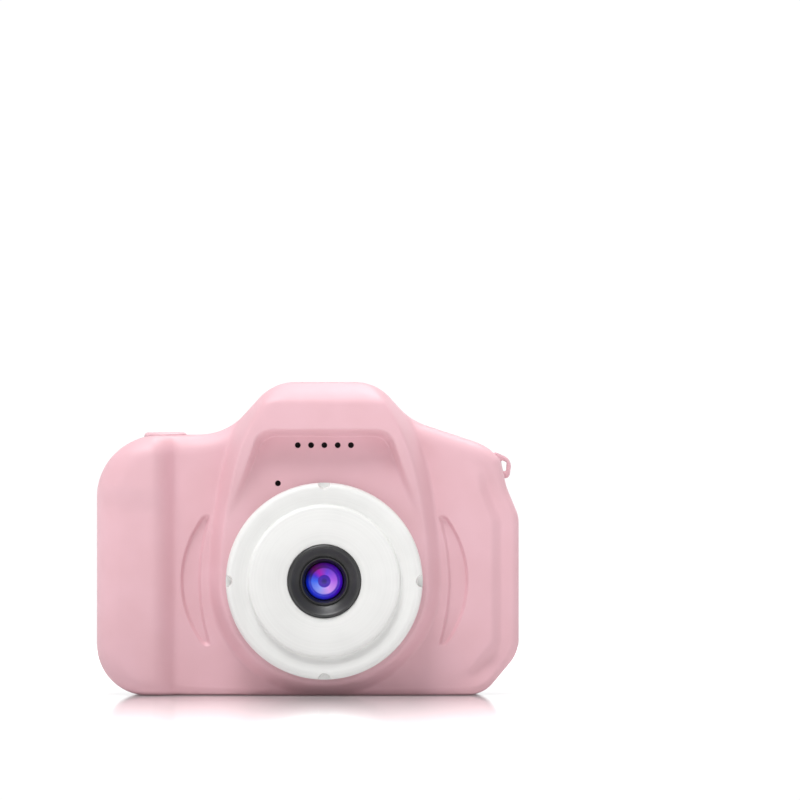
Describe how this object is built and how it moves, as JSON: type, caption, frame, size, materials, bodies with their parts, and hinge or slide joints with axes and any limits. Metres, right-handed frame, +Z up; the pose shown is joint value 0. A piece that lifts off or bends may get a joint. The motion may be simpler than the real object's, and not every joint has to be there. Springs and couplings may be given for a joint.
{
  "type": "kids digital camera",
  "caption": "Compact toy-style digital camera with a round lens bezel, a finger grip, a peaked viewfinder hump, a rear display and push keys.",
  "frame": {"origin": "on the surface that the camera stands on, at the middle of its width and of its depth", "axes": "+Z up; the lens looks along -Y and the display faces +Y; +X to the right as seen from the front, so the grip is at -X"},
  "size_m": [0.081, 0.038, 0.06],
  "materials": {
    "pink_shell": "soft satin",
    "pink_button": "satin",
    "white_bezel": "satin",
    "white_key": "satin",
    "black_hood": "satin",
    "black_plastic": "matte",
    "coated_glass": "coated, clear",
    "clear_glass": "clear",
    "display_glass": "gloss",
    "lcd": "satin",
    "foam": "closed-cell foam",
    "screw_zinc": "zinc plated",
    "board": "solder mask",
    "chip": "moulded",
    "ceramic": "ceramic and tin",
    "tin": "tin plated",
    "flex": "polyimide",
    "light_pipe": "clear moulding",
    "battery_wrap": "shrink wrap",
    "tape": "foam tape",
    "steel": "nickel plated",
    "cone_film": "film",
    "mesh": "woven",
    "boot": "matte",
    "wire": "insulated"
  },
  "bodies": {
    "camera_body": {"front_shell": "pink_shell", "rear_shell": "pink_shell", "case_screws": "screw_zinc", "lens_bezel": "white_bezel", "lens_hood": "black_hood", "lens_front_element": "coated_glass", "lens_barrel": "black_plastic", "lens_rear_element": "clear_glass", "lens_holder": "black_plastic", "lens_screws": "screw_zinc", "image_sensor": "chip", "camera_board": "board", "camera_flex": "flex", "flex_connector": "white_bezel", "display_window": "display_glass", "display_panel": "lcd", "display_backlight": "tin", "display_flex": "flex", "display_foam": "foam", "viewfinder_window": "display_glass", "key_switches": "black_plastic", "shutter_switch": "black_plastic", "shutter_board": "board", "main_board": "board", "board_screws": "screw_zinc", "processor_chip": "chip", "memory_chip": "chip", "power_chip": "chip", "crystal": "tin", "board_parts": "ceramic", "usb_socket": "tin", "card_socket": "tin", "reset_switch": "black_plastic", "status_led": "ceramic", "light_pipe": "light_pipe", "battery_cell": "battery_wrap", "battery_tape": "tape", "speaker_frame": "black_plastic", "speaker_cone": "cone_film", "speaker_magnet": "steel", "speaker_mesh": "mesh", "microphone": "tin", "mic_boot": "boot", "battery_leads": "wire", "speaker_leads": "wire", "microphone_leads": "wire", "shutter_leads": "wire"},
    "shutter_button": {"shutter_button": "pink_button", "shutter_plunger": "black_plastic"},
    "power_button": {"power_key": "white_key", "power_plunger": "black_plastic"},
    "up_button": {"up_key": "white_key", "up_plunger": "black_plastic"},
    "down_button": {"down_key": "white_key", "down_plunger": "black_plastic"},
    "mode_button": {"mode_key": "white_key", "mode_plunger": "black_plastic"},
    "menu_button": {"menu_key": "white_key", "menu_plunger": "black_plastic"},
    "reset_button": {"reset_plunger": "black_plastic"}
  },
  "joints": [
    {"name": "shutter_press", "type": "slide", "parent": "camera_body", "child": "shutter_button", "axis": [0, 0, -1], "range_m": [0, 0.0008], "stiffness_N_per_m": 1200},
    {"name": "power_press", "type": "slide", "parent": "camera_body", "child": "power_button", "axis": [0, -1, 0], "range_m": [0, 0.0005], "stiffness_N_per_m": 1200},
    {"name": "up_press", "type": "slide", "parent": "camera_body", "child": "up_button", "axis": [0, -1, 0], "range_m": [0, 0.0005], "stiffness_N_per_m": 1200},
    {"name": "down_press", "type": "slide", "parent": "camera_body", "child": "down_button", "axis": [0, -1, 0], "range_m": [0, 0.0005], "stiffness_N_per_m": 1200},
    {"name": "mode_press", "type": "slide", "parent": "camera_body", "child": "mode_button", "axis": [0, -1, 0], "range_m": [0, 0.0005], "stiffness_N_per_m": 1200},
    {"name": "menu_press", "type": "slide", "parent": "camera_body", "child": "menu_button", "axis": [0, -1, 0], "range_m": [0, 0.0005], "stiffness_N_per_m": 1200},
    {"name": "reset_press", "type": "slide", "parent": "camera_body", "child": "reset_button", "axis": [0, 0, 1], "range_m": [0, 0.00025], "stiffness_N_per_m": 1000}
  ]
}
